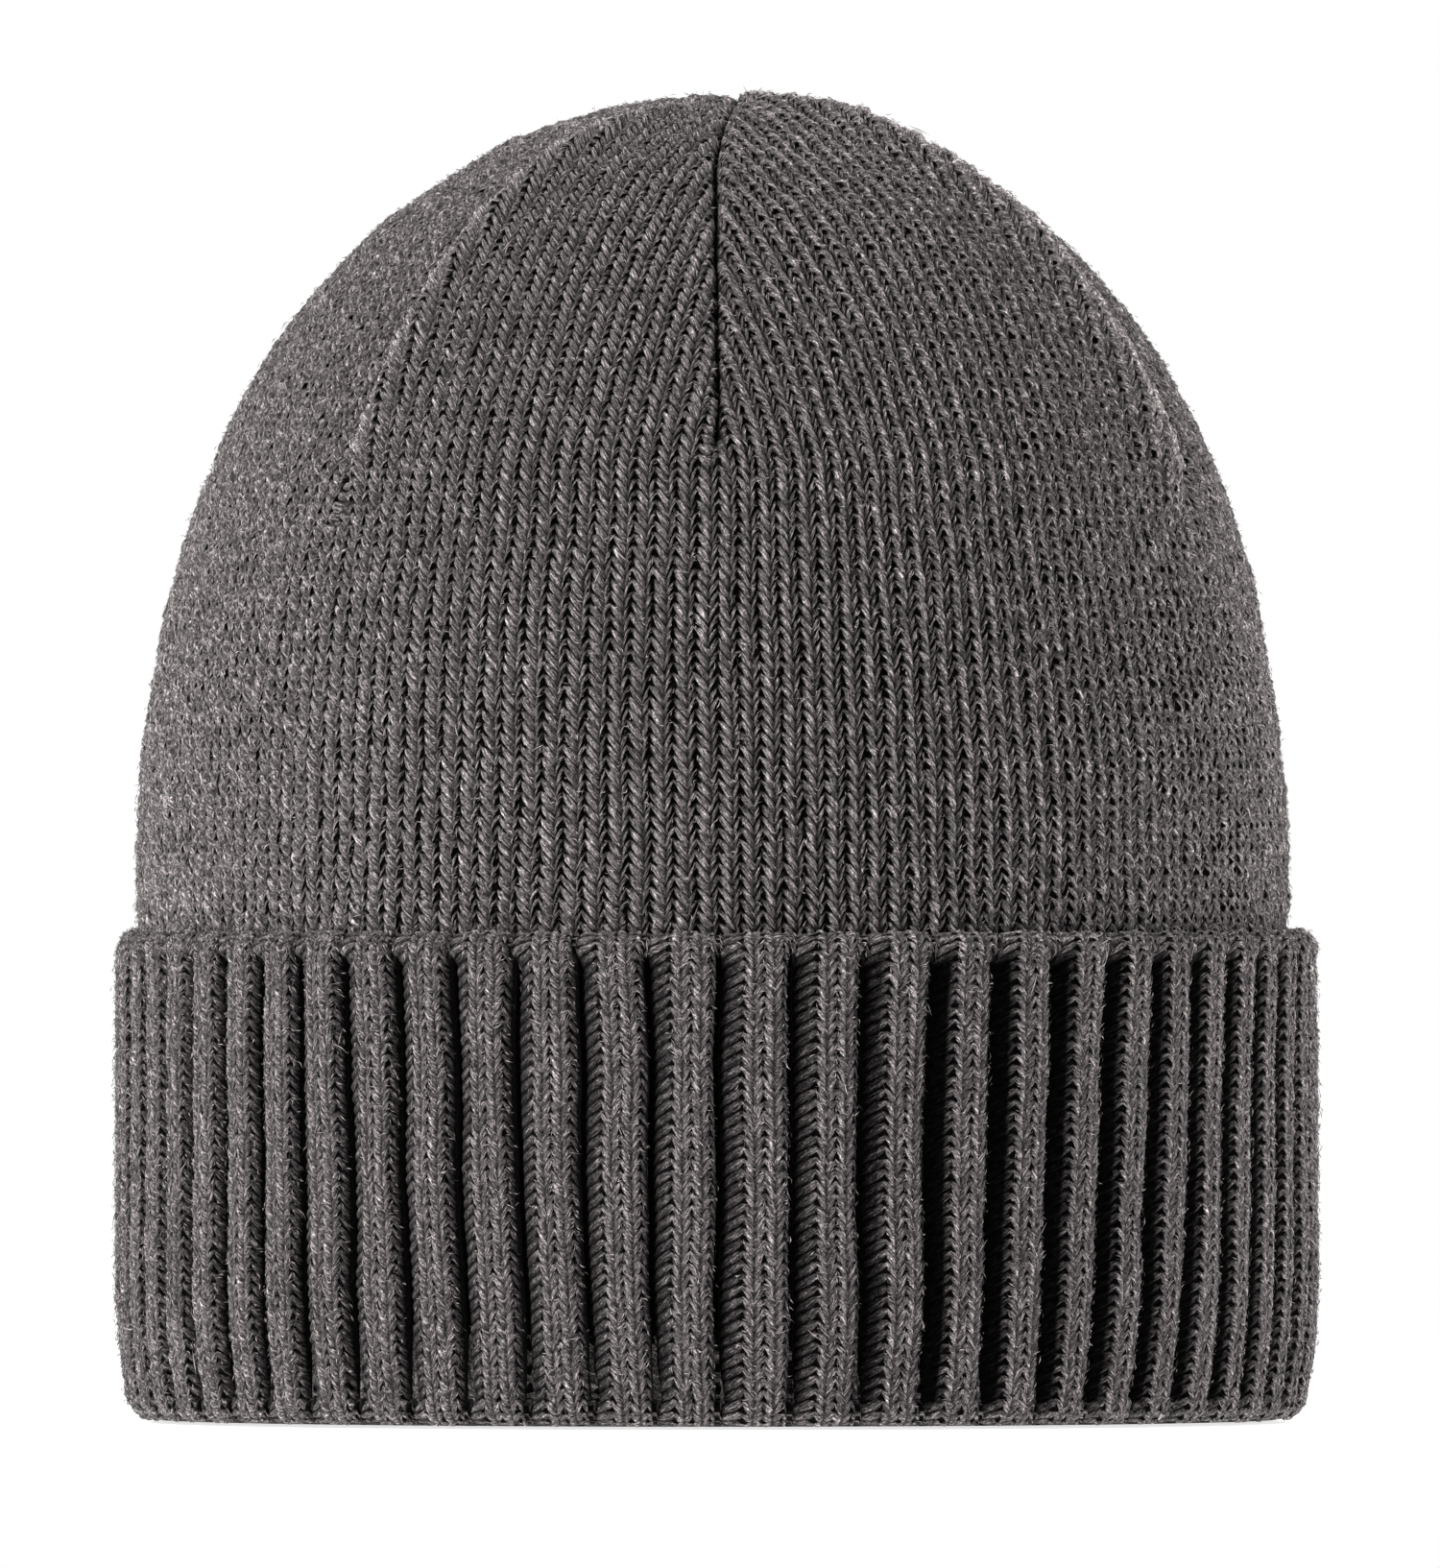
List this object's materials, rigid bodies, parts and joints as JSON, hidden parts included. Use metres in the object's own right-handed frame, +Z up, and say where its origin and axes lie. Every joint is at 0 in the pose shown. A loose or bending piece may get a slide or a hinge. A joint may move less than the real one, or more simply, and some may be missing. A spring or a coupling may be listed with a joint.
{
  "type": "knit beanie",
  "caption": "Cuffed knit beanie: plain-knit dome crown closed by sewn darts, ribbed band and turned-up rib cuff.",
  "frame": {"origin": "middle of the plane that the cuff's folded bottom edge rests on", "axes": "+Z up through the top of the crown, -Y towards the front of the wearer's face, +X to the right when looking at the front"},
  "size_m": [0.1714, 0.209, 0.189],
  "materials": {
    "crown_knit": "charcoal marl jersey knit",
    "rib_knit": "charcoal marl rib knit",
    "seam_edge": "overlocked knit edge",
    "sewing_thread": "spun sewing thread",
    "label_tape": "blank woven tape"
  },
  "bodies": {
    "hat": {"crown": "crown_knit", "rib_band": "rib_knit", "dart_seam_front": "seam_edge", "dart_seam_right": "seam_edge", "dart_seam_back_right": "seam_edge", "dart_seam_back": "seam_edge", "dart_seam_back_left": "seam_edge", "dart_seam_left": "seam_edge", "dart_thread_front": "sewing_thread", "dart_thread_right": "sewing_thread", "dart_thread_back_right": "sewing_thread", "dart_thread_back": "sewing_thread", "dart_thread_back_left": "sewing_thread", "dart_thread_left": "sewing_thread", "top_knot": "sewing_thread", "back_seam_thread": "sewing_thread", "label_stitches": "sewing_thread"},
    "turn_up": {"cuff": "rib_knit", "cuff_seam_thread": "sewing_thread"},
    "label": {"care_label": "label_tape"}
  },
  "joints": [
    {"name": "cuff_turn_down", "type": "slide", "parent": "hat", "child": "turn_up", "axis": [0, 0, -1], "range_m": [0, 0.064]},
    {"name": "label_flip", "type": "hinge", "parent": "hat", "child": "label", "pos_m": [0, 0.093, 0.068], "axis": [-1, 0, 0], "range_deg": [0, 110]}
  ]
}
